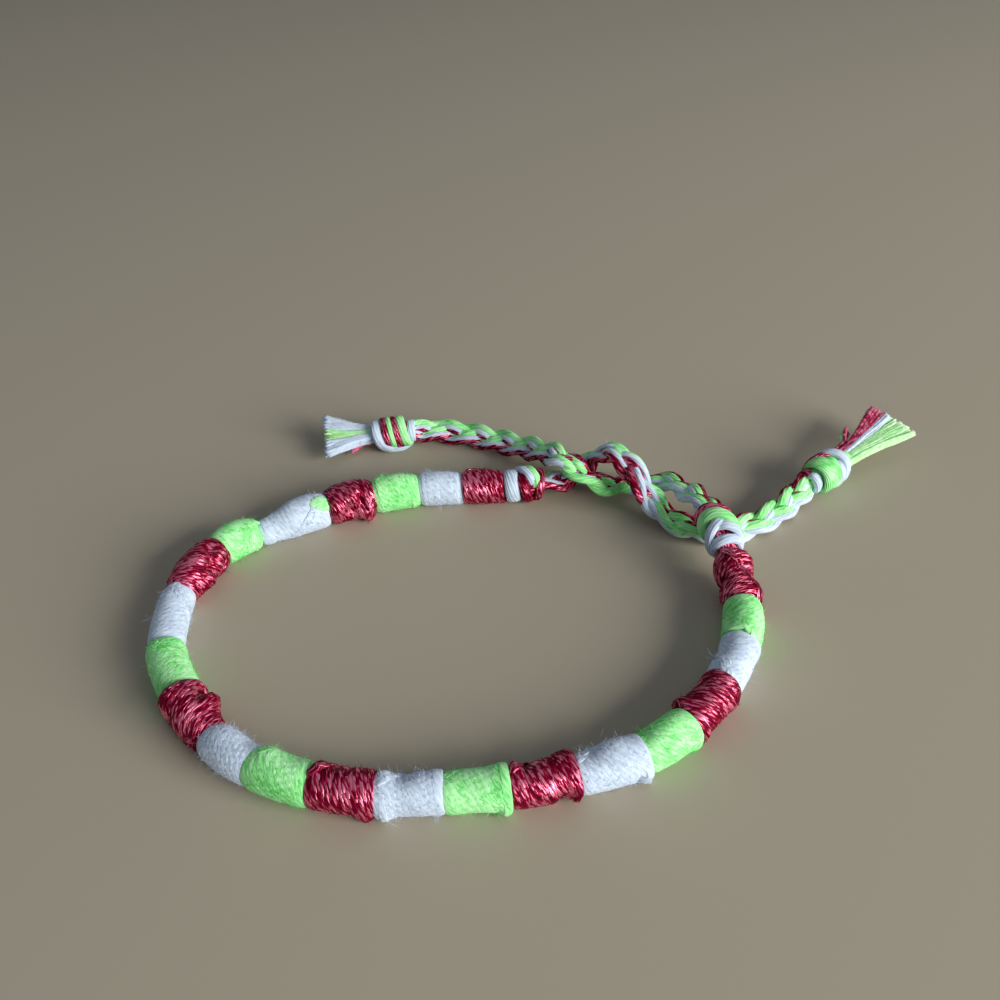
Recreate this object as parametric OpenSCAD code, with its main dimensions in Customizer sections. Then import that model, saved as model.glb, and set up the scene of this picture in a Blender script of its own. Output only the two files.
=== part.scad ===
// Knotted thread bracelet, tied shut and lying on a surface.
// Twenty-two wrapped sections in raspberry, white and green follow each other round an oval loop.
// Each end of the band is an overhand knot. A braided tie leaves each end knot, the two ties
// cross in a half knot, and each ends in a stopper knot and a cut tassel.
// Millimetres, +Z up. The origin is on the surface, under the middle of the loop.

/* [Band] */
// Thickness of the wrapped sections, as a share of the table's diameters
band_thickness = 1; // [0.9:0.02:1.04]
// Gap between neighbouring sections
section_gap = 0.2; // [0.1:0.05:0.4]
// Height of the ridge that the half hitches leave on a section
ridge_height = 0.3; // [0:0.05:0.4]
// How far a section's underside is pressed flat by lying on the surface
rest_flat = 0.15; // [0.05:0.05:0.3]

/* [Ties] */
// Width of each braided tie
tie_d = 2.8; // [2:0.1:2.9]

/* [Knots] */
// Diameter of the overhand knot at each end of the band
end_knot_d = 4.5; // [4:0.1:4.6]
// Diameter of the stopper knot on the left tie
left_stopper_d = 4.7; // [4:0.1:5]
// Diameter of the stopper knot on the right tie
right_stopper_d = 5; // [4:0.1:5.2]
// Depth of the furrows between a knot's turns, as a share of its radius
knot_furrow = 0.12; // [0:0.02:0.2]

/* [Tassels] */
// Thickness of a tassel where it leaves its stopper knot
tassel_neck_d = 2.4; // [1.6:0.1:2.6]
// Thickness of the left tassel at its cut end
left_tassel_d = 2.2; // [1.4:0.1:2.6]
// Thickness of the right tassel at its cut end
right_tassel_d = 2.4; // [1.4:0.1:2.8]

/* [Hidden] */
RASPBERRY = "#b5173f";
WHITE = "#e6e8f2";
GREEN = "#8fe56b";

// One row a section, in order from the left end knot: colour, place on the surface where the
// section begins, diameter at its start, middle and end, and where the ridge of hitches starts
// and how far it turns. Ridge angles are degrees about the cord: 0 faces away from the loop's
// middle and 90 faces up.
COLOUR = 0; X = 1; Y = 2; D_START = 3; D_MIDDLE = 4; D_END = 5; RIDGE_AT = 6; RIDGE_TURN = 7;
SECTIONS = [
  ["raspberry",   6.0,  22.5, 4.0, 4.5, 4.3,  60, 240],
  ["white",       0.8,  22.7, 4.0, 4.3, 4.1,  80, 240],
  ["green",      -4.7,  22.7, 4.0, 4.6, 4.2,  40, 240],
  ["raspberry", -10.5,  21.7, 4.4, 5.0, 4.5, 150, 230],
  ["white",     -16.1,  19.6, 4.3, 4.4, 3.1,  80, 240],
  ["green",     -23.9,  16.0, 3.8, 4.5, 4.2,  60, 240],
  ["raspberry", -28.0,  12.5, 4.3, 4.6, 3.8, 150, 230],
  ["white",     -30.9,   5.5, 3.8, 3.9, 3.9,  60, 260],
  ["green",     -30.4,  -3.1, 4.2, 4.2, 4.1,  30, 260],
  ["raspberry", -27.1,  -9.9, 4.7, 4.5, 3.6, 130, 260],
  ["white",     -23.1, -15.3, 3.6, 4.1, 3.9,  60, 260],
  ["green",     -18.4, -18.9, 4.0, 4.3, 4.1,  70, 260],
  ["raspberry", -12.8, -21.3, 4.2, 4.3, 4.1,  80, 260],
  ["white",      -6.9, -22.5, 3.9, 3.9, 3.9,  85, 250],
  ["green",      -0.9, -22.7, 3.9, 4.0, 4.2,  95, 240],
  ["raspberry",   5.0, -22.6, 4.1, 4.1, 4.2,  85, 265],
  ["white",      11.0, -21.6, 3.8, 4.1, 4.2,  90, 260],
  ["green",      17.0, -19.8, 3.8, 4.1, 4.0,  90, 260],
  ["raspberry",  21.8, -16.7, 3.8, 4.1, 4.0, 120, 260],
  ["white",      26.1, -11.9, 3.9, 4.0, 4.0,  60, 250],
  ["green",      29.1,  -6.6, 4.2, 4.3, 4.1,  40, 250],
  ["raspberry",  30.5,  -1.2, 4.2, 4.4, 3.8, -30, 230]
];
COUNT = len(SECTIONS);
// The far end of the last section, which climbs onto the right tie
BAND_END = [30.4, 5.7];
BAND_END_LIFT = 1.8;

// Routes of the braided ties, from the band's end knot to the stopper knot
RIGHT_TIE = [
  [10.8, 22.4, 2.3], [12.2, 22.9, 2.0], [13.7, 23.8, 1.6], [15.3, 24.8, 1.7], [16.8, 25.4, 2.7],
  [18.2, 25.0, 4.3], [19.5, 23.6, 5.5], [20.8, 21.7, 5.8], [21.9, 19.7, 5.2], [22.8, 17.9, 4.0],
  [23.8, 16.8, 2.7], [25.0, 15.6, 1.7], [26.4, 13.9, 1.45], [28.1, 12.6, 1.45], [30.2, 12.0, 1.45],
  [32.3, 12.0, 1.45], [34.3, 12.6, 1.5], [36.4, 13.7, 1.5], [38.6, 15.2, 1.5], [41.0, 17.3, 1.7],
  [43.4, 19.5, 2.1]
];
LEFT_TIE = [
  [29.6, 11.6, 4.7], [29.1, 13.6, 4.6], [28.2, 16.4, 4.0], [27.0, 19.2, 3.2], [25.5, 21.3, 2.4],
  [23.8, 22.2, 1.7], [21.9, 22.3, 1.5], [20.0, 22.1, 1.5], [18.1, 21.8, 2.1], [16.2, 21.8, 3.5],
  [14.5, 22.6, 4.6], [12.9, 24.4, 4.7], [11.3, 26.8, 3.8], [9.7, 29.4, 2.7], [7.4, 31.9, 1.8],
  [4.6, 33.9, 1.5], [1.6, 35.4, 1.5], [-1.4, 36.4, 1.5], [-4.0, 36.7, 1.7], [-6.0, 36.3, 2.0]
];
// Where each tassel leaves its knot, and the two corners of its cut end
LEFT_NECK = [-11.6, 36.1, 2.1];
LEFT_TIPS = [[-17.6, 32.4, 1.3], [-18.3, 39.0, 3.4]];
RIGHT_NECK = [49.6, 24.0, 2.7];
RIGHT_TIPS = [[56.0, 33.6, 3.4], [59.6, 28.0, 2.9]];

SECTION_SIDES = 16;
SECTION_RINGS = 9;
KNOT_SIDES = 18;
KNOT_RINGS = 11;
KNOT_LOBES = 3;
KNOT_TURN = 200;
TIE_SIDES = 8;
TASSEL_SIDES = 14;
TASSEL_RINGS = 6;
UP = [0, 0, 1];
// Share of the radius that a section loses at its very ends
SHOULDER = 0.08;
// Clearance left between a tie and the knot that it leaves or enters
SEAT = 0.1;

function section_name(i) = str("section_", i < 9 ? "0" : "", i + 1, "_", SECTIONS[i][COLOUR]);
function unit(v) = v / norm(v);
function flat(v) = unit([v.x, v.y, 0]);
function clamp(v, low, high) = min(max(v, low), high);

// Catmull-Rom spline through the points p, at place s counted in points
function before(p, i) = i > 0 ? p[i - 1] : 2 * p[0] - p[1];
function after(p, i) = i < len(p) - 2 ? p[i + 2] : 2 * p[i + 1] - p[i];
function spline_piece(a, b, c, d, t) =
  (2 * b + (c - a) * t + (2 * a - 5 * b + 4 * c - d) * t * t + (3 * b - a - 3 * c + d) * t * t * t) / 2;
function spline_slope(a, b, c, d, t) =
  ((c - a) + 2 * (2 * a - 5 * b + 4 * c - d) * t + 3 * (3 * b - a - 3 * c + d) * t * t) / 2;
function at(p, s) =
  let (i = clamp(floor(s), 0, len(p) - 2)) spline_piece(before(p, i), p[i], p[i + 1], after(p, i), s - i);
function along(p, s) =
  let (i = clamp(floor(s), 0, len(p) - 2)) unit(spline_slope(before(p, i), p[i], p[i + 1], after(p, i), s - i));

// Cubic curve from a to b that leaves along u and arrives along v
function bend(a, u, b, v, t) =
  let (pull = norm(b - a))
  (2 * t * t * t - 3 * t * t + 1) * a + (t * t * t - 2 * t * t + t) * pull * u
  + (3 * t * t - 2 * t * t * t) * b + (t * t * t - t * t) * pull * v;

// Nothing reaches below the surface that the bracelet lies on
function rest(p) = [p.x, p.y, max(p.z, 0)];

// Closed skin over rings of points that run clockwise as seen from the last ring
module skin(rings) {
  sides = len(rings[0]);
  last = len(rings) - 1;
  points = [for (ring = rings) each ring];
  walls = [for (j = [0 : last - 1]) for (k = [0 : sides - 1])
    let (a = j * sides + k, b = j * sides + (k + 1) % sides)
    each [[a, b, a + sides], [b, b + sides, a + sides]]];
  first_cap = [for (k = [sides - 1 : -1 : 0]) k];
  last_cap = [for (k = [0 : sides - 1]) last * sides + k];
  polyhedron(points = points, faces = concat([first_cap], walls, [last_cap]), convexity = 6);
}

// The band: its centreline on the surface, then a section's diameter and its rings
BAND = concat([for (row = SECTIONS) [row[X], row[Y], 0]], [[BAND_END.x, BAND_END.y, 0]]);
function section_d(row, t) =
  band_thickness * (row[D_START] * (1 - t) * (1 - 2 * t) + 4 * row[D_MIDDLE] * t * (1 - t)
  + row[D_END] * t * (2 * t - 1));
function shoulder(t) = 1 - SHOULDER * pow(abs(2 * t - 1), 6);
function ridge(row, t, a) =
  ridge_height * pow(max(0, cos(a - row[RIDGE_AT] - row[RIDGE_TURN] * t)), 4) * sin(180 * clamp(t, 0, 1));
function lift(i, t) = i == COUNT - 1 ? BAND_END_LIFT * t * t : 0;
function section_centre(i, t) =
  at(BAND, i + t) + UP * (section_d(SECTIONS[i], t) / 2 - rest_flat + lift(i, t));
function section_ring(i, t) =
  let (row = SECTIONS[i], out = cross(along(BAND, i + t), UP), c = section_centre(i, t))
  [for (k = [0 : SECTION_SIDES - 1])
    let (a = 360 * k / SECTION_SIDES, r = section_d(row, t) / 2 * shoulder(t) + ridge(row, t, a))
    rest(c + r * (cos(a) * out + sin(a) * UP))];

module knotted_section(i) {
  row = SECTIONS[i];
  length = norm(BAND[i + 1] - BAND[i]);
  trim = section_gap / 2 / length;
  color(row[COLOUR] == "raspberry" ? RASPBERRY : row[COLOUR] == "white" ? WHITE : GREEN)
    skin([for (j = [0 : SECTION_RINGS - 1])
      section_ring(i, trim + (1 - 2 * trim) * j / (SECTION_RINGS - 1))]);
}

// A knot: a lump on a short curve, with flat seats at both ends and slanted furrows between turns
function lump_r(t, a, d, seat_a, seat_b) =
  let (seat = seat_a + (seat_b - seat_a) * t, swell = pow(sin(180 * t), 0.6))
  (seat + (d - seat) * swell) / 2 * (1 + knot_furrow * swell * (cos(KNOT_LOBES * a - KNOT_TURN * t) - 1) / 2);
function lump_ring(a, u, b, v, t, d, seat_a, seat_b) =
  let (step = 0.001,
       c = bend(a, u, b, v, t),
       dir = t <= 0 ? u : t >= 1 ? v : unit(bend(a, u, b, v, t + step) - bend(a, u, b, v, t - step)),
       out = unit(cross(dir, UP)), over = cross(out, dir))
  [for (k = [0 : KNOT_SIDES - 1])
    let (g = 360 * k / KNOT_SIDES)
    rest(c + lump_r(t, g, d, seat_a, seat_b) * (cos(g) * out + sin(g) * over))];
module lump(a, u, b, v, d, seat_a, seat_b) {
  skin([for (j = [0 : KNOT_RINGS - 1])
    lump_ring(a, u, b, v, j / (KNOT_RINGS - 1), d, seat_a, seat_b)]);
}

module end_knot_left() {
  towards_band = flat(BAND[0] - BAND[1]);
  tie_dir = along(RIGHT_TIE, 0);
  color(WHITE)
    lump(section_centre(0, 0) + section_gap * towards_band, towards_band,
      RIGHT_TIE[0] - SEAT * tie_dir, tie_dir, end_knot_d, SECTIONS[0][D_START] * 0.85, tie_d);
}
module end_knot_right() {
  out_of_band = flat(BAND[COUNT] - BAND[COUNT - 1]);
  tie_dir = along(LEFT_TIE, 0);
  color(WHITE)
    lump(section_centre(COUNT - 1, 1) + section_gap * out_of_band, out_of_band,
      LEFT_TIE[0] - SEAT * tie_dir, tie_dir, end_knot_d, SECTIONS[COUNT - 1][D_END] * 0.85, tie_d);
}

// A braided tie, drawn as one tube along its route: two rings for each point of the route
function tie_ring(route, s) =
  let (dir = along(route, s), out = unit(cross(dir, UP)), over = cross(out, dir))
  [for (k = [0 : TIE_SIDES - 1])
    let (a = 360 * k / TIE_SIDES) at(route, s) + tie_d / 2 * (cos(a) * out + sin(a) * over)];
module tie(route) {
  last = len(route) - 1;
  skin([for (s = [0 : 0.5 : last]) tie_ring(route, s)]);
}
module tie_right() { color(GREEN) tie(RIGHT_TIE); }
module tie_left() { color(RASPBERRY) tie(LEFT_TIE); }

// Stopper knots, from the end of a tie to the neck of its tassel
function neck_dir(neck, tips) = unit((tips[0] + tips[1]) / 2 - neck);
module stopper(route, neck, tips, d) {
  dir = along(route, len(route) - 1);
  out = neck_dir(neck, tips);
  lump(route[len(route) - 1] + SEAT * dir, dir, neck - SEAT * out, out, d, tie_d, tassel_neck_d);
}
module stopper_knot_right() { color(GREEN) stopper(RIGHT_TIE, RIGHT_NECK, RIGHT_TIPS, right_stopper_d); }
module stopper_knot_left() { color(WHITE) stopper(LEFT_TIE, LEFT_NECK, LEFT_TIPS, left_stopper_d); }

// A tassel: the outer form of its cut threads, round at the neck and spread flat at the cut end
function tassel_ring(neck, tips, tip_d, t) =
  let (dir = neck_dir(neck, tips), side = unit(cross(dir, UP)), over = cross(side, dir),
       spread = pow(t, 0.8),
       left = (1 - t) * (neck - side * tassel_neck_d / 2) + t * tips[0],
       right = (1 - t) * (neck + side * tassel_neck_d / 2) + t * tips[1],
       half = (right - left) / 2,
       thick = (tassel_neck_d * (1 - spread) + tip_d * spread) / 2)
  [for (k = [0 : TASSEL_SIDES - 1])
    let (a = 360 * k / TASSEL_SIDES) rest((left + right) / 2 + cos(a) * half + sin(a) * thick * over)];
module tassel(neck, tips, tip_d) {
  skin([for (j = [0 : TASSEL_RINGS - 1]) tassel_ring(neck, tips, tip_d, j / (TASSEL_RINGS - 1))]);
}
module tassel_right() { color(RASPBERRY) tassel(RIGHT_NECK, RIGHT_TIPS, right_tassel_d); }
module tassel_left() { color(WHITE) tassel(LEFT_NECK, LEFT_TIPS, left_tassel_d); }

for (i = [0 : COUNT - 1]) knotted_section(i);
end_knot_left();
end_knot_right();
tie_right();
tie_left();
stopper_knot_right();
stopper_knot_left();
tassel_right();
tassel_left();
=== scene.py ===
# %% [markdown]
# A knotted thread bracelet, tied shut and lying on a table. Twenty-two short sections of wound
# embroidery floss follow each other round a loop, a knot ends each end of the band, and two
# braided ties cross each other and run out to a stopper knot and a tassel of cut thread.
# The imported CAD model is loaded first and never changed. Each thread piece made here replaces
# one of its solids, in the same place.

# %% Load the frame
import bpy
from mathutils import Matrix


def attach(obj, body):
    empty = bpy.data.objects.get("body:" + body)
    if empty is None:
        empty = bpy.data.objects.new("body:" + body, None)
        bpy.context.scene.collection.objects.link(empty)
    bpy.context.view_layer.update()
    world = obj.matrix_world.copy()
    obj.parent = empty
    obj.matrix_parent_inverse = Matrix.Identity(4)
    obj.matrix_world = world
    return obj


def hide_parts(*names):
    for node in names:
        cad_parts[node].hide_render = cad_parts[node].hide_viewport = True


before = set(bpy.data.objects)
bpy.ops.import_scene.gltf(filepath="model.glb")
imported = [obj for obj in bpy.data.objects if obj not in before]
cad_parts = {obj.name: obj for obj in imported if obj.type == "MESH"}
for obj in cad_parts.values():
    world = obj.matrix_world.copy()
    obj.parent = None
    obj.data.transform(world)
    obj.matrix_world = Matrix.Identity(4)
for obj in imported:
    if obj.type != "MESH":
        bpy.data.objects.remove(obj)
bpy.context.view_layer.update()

import math
import bpy
import numpy as np
from mathutils import Matrix, Vector

MM = 0.001

# %% [markdown]
# Places, thicknesses and routes in the tables below are the part's own, in millimetres. A section
# row says its colour, where on the table it begins, its thickness at the start, middle and end,
# and where the ridge of hitches starts and how far it turns. Only the ridge angles of some
# sections differ from the part's: they are set so that the ridge shows where the photo shows it.
# Angles run about the cord: 0 faces away from the loop's middle, 90 faces up, 180 faces the
# loop's middle. The band's last section climbs onto the right tie, by BAND_END_LIFT. The table
# flattens every section's underside, so its middle lies REST_FLAT lower than half its thickness.

# %% The band's and the ties' routes
COLOURS = ("raspberry", "white", "green")
SECTIONS = [
    ("raspberry", 6.0, 22.5, 4.0, 4.5, 4.3, 240, 200),
    ("white", 0.8, 22.7, 4.0, 4.3, 4.1, 230, 200),
    ("green", -4.7, 22.7, 4.0, 4.6, 4.2, 240, 200),
    ("raspberry", -10.5, 21.7, 4.4, 5.0, 4.5, 150, 230),
    ("white", -16.1, 19.6, 4.3, 4.4, 3.1, 80, 240),
    ("green", -23.9, 16.0, 3.8, 4.5, 4.2, 60, 240),
    ("raspberry", -28.0, 12.5, 4.3, 4.6, 3.8, 150, 230),
    ("white", -30.9, 5.5, 3.8, 3.9, 3.9, 60, 260),
    ("green", -30.4, -3.1, 4.2, 4.2, 4.1, 30, 260),
    ("raspberry", -27.1, -9.9, 4.7, 4.5, 3.6, 130, 260),
    ("white", -23.1, -15.3, 3.6, 4.1, 3.9, 60, 260),
    ("green", -18.4, -18.9, 4.0, 4.3, 4.1, 70, 260),
    ("raspberry", -12.8, -21.3, 4.2, 4.3, 4.1, 75, 260),
    ("white", -6.9, -22.5, 3.9, 3.9, 3.9, 75, 250),
    ("green", -0.9, -22.7, 3.9, 4.0, 4.2, 95, 250),
    ("raspberry", 5.0, -22.6, 4.1, 4.1, 4.2, 85, 285),
    ("white", 11.0, -21.6, 3.8, 4.1, 4.2, 90, 270),
    ("green", 17.0, -19.8, 3.8, 4.1, 4.0, 90, 265),
    ("raspberry", 21.8, -16.7, 3.8, 4.1, 4.0, 120, 270),
    ("white", 26.1, -11.9, 3.9, 4.0, 4.0, 60, 250),
    ("green", 29.1, -6.6, 4.2, 4.3, 4.1, 40, 250),
    ("raspberry", 30.5, -1.2, 4.2, 4.4, 3.8, 10, 110),
]
BAND_END = (30.4, 5.7)
BAND_END_LIFT = 1.8
REST_FLAT = 0.15
RIGHT_TIE = np.array([
    (10.8, 22.4, 2.3), (12.2, 22.9, 2.0), (13.7, 23.8, 1.6), (15.3, 24.8, 1.7), (16.8, 25.4, 2.7),
    (18.2, 25.0, 4.3), (19.5, 23.6, 5.5), (20.8, 21.7, 5.8), (21.9, 19.7, 5.2), (22.8, 17.9, 4.0),
    (23.8, 16.8, 2.7), (25.0, 15.6, 1.7), (26.4, 13.9, 1.45), (28.1, 12.6, 1.45), (30.2, 12.0, 1.45),
    (32.3, 12.0, 1.45), (34.3, 12.6, 1.5), (36.4, 13.7, 1.5), (38.6, 15.2, 1.5), (41.0, 17.3, 1.7),
    (43.4, 19.5, 2.1)])
LEFT_TIE = np.array([
    (29.6, 11.6, 4.7), (29.1, 13.6, 4.6), (28.2, 16.4, 4.0), (27.0, 19.2, 3.2), (25.5, 21.3, 2.4),
    (23.8, 22.2, 1.7), (21.9, 22.3, 1.5), (20.0, 22.1, 1.5), (18.1, 21.8, 2.1), (16.2, 21.8, 3.5),
    (14.5, 22.6, 4.6), (12.9, 24.4, 4.7), (11.3, 26.8, 3.8), (9.7, 29.4, 2.7), (7.4, 31.9, 1.8),
    (4.6, 33.9, 1.5), (1.6, 35.4, 1.5), (-1.4, 36.4, 1.5), (-4.0, 36.7, 1.7), (-6.0, 36.3, 2.0)])
# Where each tassel leaves its stopper, and the two corners of its cut end
LEFT_NECK, LEFT_TIPS = np.array((-11.6, 36.1, 2.1)), np.array([(-17.6, 32.4, 1.3), (-18.3, 39.0, 3.4)])
RIGHT_NECK, RIGHT_TIPS = np.array((49.6, 24.0, 2.7)), np.array([(56.0, 33.6, 3.4), (59.6, 28.0, 2.9)])
print(len(SECTIONS), "sections")

# %% [markdown]
# The camera comes first, because the cords are checked against what it sees. It stands where the
# photograph was taken from: low over the near side of the loop, looking down, and leaning a little.

# %% Camera
scene = bpy.context.scene
PITCH, ROLL = math.radians(37.0), math.radians(-3.0)
CAMERA_AT = (5.374, -75.503, 73.7)
SENSOR, FOCAL_SHARE = 36, 0.963
ahead = Vector((0, math.cos(PITCH), -math.sin(PITCH)))
level = Vector((1, 0, 0))
above = level.cross(ahead)
cam_right = level * math.cos(ROLL) + above * math.sin(ROLL)
cam_up = above * math.cos(ROLL) - level * math.sin(ROLL)
camera_data = bpy.data.cameras.new("Camera")
camera_data.sensor_width = SENSOR
camera_data.lens = SENSOR * FOCAL_SHARE
camera_data.clip_start, camera_data.clip_end = 0.002, 20
camera = bpy.data.objects.new("Camera", camera_data)
camera.matrix_world = Matrix((
    (cam_right.x, cam_up.x, -ahead.x, CAMERA_AT[0] * MM),
    (cam_right.y, cam_up.y, -ahead.y, CAMERA_AT[1] * MM),
    (cam_right.z, cam_up.z, -ahead.z, CAMERA_AT[2] * MM),
    (0, 0, 0, 1)))
scene.collection.objects.link(camera)
scene.camera = camera
print("camera at", CAMERA_AT, "mm")

# %% [markdown]
# The light is one large soft window low on the right, towards the viewer, with a faint glow from
# above and a pale room all round. The floor is plain and lies a hair under the bracelet.

# %% Light and floor
def area_light(name, towards, distance, size, watts, colour):
    """A lamp `size` wide and high at `distance` from the middle of the bracelet in the direction `towards`,
    facing it."""
    data = bpy.data.lights.new(name, "AREA")
    data.shape, data.size, data.size_y = "RECTANGLE", size[0], size[1]
    data.energy, data.color = watts, colour
    lamp = bpy.data.objects.new(name, data)
    lamp.location = Vector(towards).normalized() * distance
    lamp.rotation_euler = Vector(towards).to_track_quat("Z", "Y").to_euler()
    scene.collection.objects.link(lamp)


area_light("Window", towards=(0.76, -0.56, 0.32), distance=0.9, size=(0.62, 0.42), watts=11.6,
           colour=(1.0, 0.985, 0.97))
area_light("Sky", towards=(-0.1, 0.3, 1.0), distance=0.9, size=(0.8, 0.8), watts=0.35,
           colour=(0.90, 0.95, 1.0))
world = bpy.data.worlds.new("Room")
world.use_nodes = True
room = world.node_tree.nodes["Background"]
room.inputs["Color"].default_value = (0.78, 0.86, 1.0, 1)
room.inputs["Strength"].default_value = 0.19
scene.world = world
scene.view_settings.view_transform = "Standard"

FLOOR_HALF, FLOOR_Z = 2, -2e-5
corners = [(x * FLOOR_HALF, y * FLOOR_HALF, FLOOR_Z) for x, y in ((-1, -1), (1, -1), (1, 1), (-1, 1))]
floor_mesh = bpy.data.meshes.new("Floor")
floor_mesh.from_pydata(corners, [], [(0, 1, 2, 3)])
floor = bpy.data.objects.new("Floor", floor_mesh)
scene.collection.objects.link(floor)
floor_material = bpy.data.materials.new("Pale table")
floor_material.use_nodes = True
floor_shader = floor_material.node_tree.nodes["Principled BSDF"]
floor_shader.inputs["Base Color"].default_value = (0.445, 0.394, 0.295, 1)
floor_shader.inputs["Roughness"].default_value = 0.75
floor_mesh.materials.append(floor_material)

# %% [markdown]
# Everything here is thread, so two helpers carry the whole object: a smooth curve through a few
# route points, and a bundle of strands carried along such a curve.

# %% Curve helpers
def unit(v):
    """Each vector divided by its length."""
    return v / np.maximum(np.linalg.norm(v, axis=-1, keepdims=True), 1e-12)


def spline(points, s):
    """Catmull-Rom curve: between two points, the cubic whose slope at each is half the step between its
    neighbours. s counts points. Returns the places on the curve and its directions."""
    p = np.vstack([2 * points[0] - points[1], points, 2 * points[-1] - points[-2]])
    i = np.clip(np.floor(s).astype(int), 0, len(points) - 2)
    t = (s - i)[:, None]
    a, b, c, d = p[i], p[i + 1], p[i + 2], p[i + 3]
    first, second, third = c - a, 2 * a - 5 * b + 4 * c - d, 3 * b - a - 3 * c + d
    place = 0.5 * (2 * b + first * t + second * t ** 2 + third * t ** 3)
    slope = 0.5 * (first + 2 * second * t + 3 * third * t ** 2)
    return place, unit(slope)


def travelled(path):
    """Length along a path up to each of its points."""
    return np.concatenate([[0], np.cumsum(np.linalg.norm(np.diff(path, axis=0), axis=1))])


def ease(low, high, x):
    """0 below low, 1 above high, and 3t^2 - 2t^3 between."""
    t = np.clip((x - low) / (high - low), 0, 1)
    return t * t * (3 - 2 * t)


def hump(low, high, x):
    """A smooth bump of height 1 between low and high: the square of a sine."""
    return np.sin(np.pi * np.clip((x - low) / (high - low), 0, 1)) ** 2


print("route points span", [round(float(travelled(route)[-1]), 1) for route in (RIGHT_TIE, LEFT_TIE)], "mm")

# %% [markdown]
# Floss is a few thin strands lying side by side with a slight twist. Its outline is a flat oval
# with a lobe for each strand, and the lobes turn as the thread goes on. The grid lines run along
# the strands, so the grooves between them stay crisp with only two or three points a strand.

# %% A bundle of strands along a path
def floss(path, normal, width, height, strands, twist, phase, lobe=(0.86, 1.0, 1.0), flat=0.8):
    """Rings of points round `path` (all in mm). With a the angle of a strand line and D the path's direction,
    N the normal made square to D and B = D x N, a point is path + lobe * (width/2 C B + height/2 S N), where
    a = twist (radians per mm) * the length travelled - its own place round the bundle, C and S are the cosine
    and sine of a raised to the power `flat` with their signs kept, and lobe is the outline of one strand."""
    D = unit(np.gradient(path, axis=0))
    N = unit(normal - (normal * D).sum(1, keepdims=True) * D)
    B = np.cross(D, N)
    length = travelled(path)
    m = strands * len(lobe)
    k = np.arange(m)
    angle = (twist * length + phase)[:, None] - 2 * np.pi * k / m
    bumps = np.tile(lobe, strands)
    c, s = np.cos(angle), np.sin(angle)
    c, s = np.sign(c) * np.abs(c) ** flat, np.sign(s) * np.abs(s) ** flat
    across = np.broadcast_to(width, len(path))[:, None] / 2 * c * bumps
    up = np.broadcast_to(height, len(path))[:, None] / 2 * s * bumps
    rings = path[:, None] + across[..., None] * B[:, None] + up[..., None] * N[:, None]
    u = np.repeat(length[:, None], m + 1, axis=1)
    v = np.repeat(np.arange(m + 1)[None] / len(lobe), len(path), axis=0)
    return rings, np.stack([u, v], axis=-1)


# %% [markdown]
# One mesh holds all bundles of a piece. Each is a grid closed round the bundle, with a cap at
# both ends. The UV map "Thread" holds millimetres along the thread and strands across it, which
# is what the thread's own pattern needs. The UV map "Place" says how far along the piece it is.

# %% Rings into a mesh
def grid_faces(n, m):
    """The faces of a closed grid of n rings of m points: quads between neighbouring rings, wound to face
    outwards, and a cap with m sides at each end. Returns the corners' point numbers, each face's number of
    corners, and the ring and the place round it where each corner reads the UV grid."""
    i, k = [g.ravel() for g in np.meshgrid(np.arange(n - 1), np.arange(m), indexing="ij")]
    beside, rim = (k + 1) % m, np.arange(m)
    quads = np.stack([i * m + k, i * m + beside, (i + 1) * m + beside, (i + 1) * m + k], -1).ravel()
    corners = np.concatenate([quads, rim[::-1], (n - 1) * m + rim])
    sides = np.concatenate([np.full(len(i), 4), [m, m]])
    uv_ring = np.concatenate([np.stack([i, i, i + 1, i + 1], -1).ravel(), 0 * rim, 0 * rim + n - 1])
    uv_round = np.concatenate([np.stack([k, k + 1, k + 1, k], -1).ravel(), rim[::-1], rim])
    return corners, sides, uv_ring, uv_round


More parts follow.
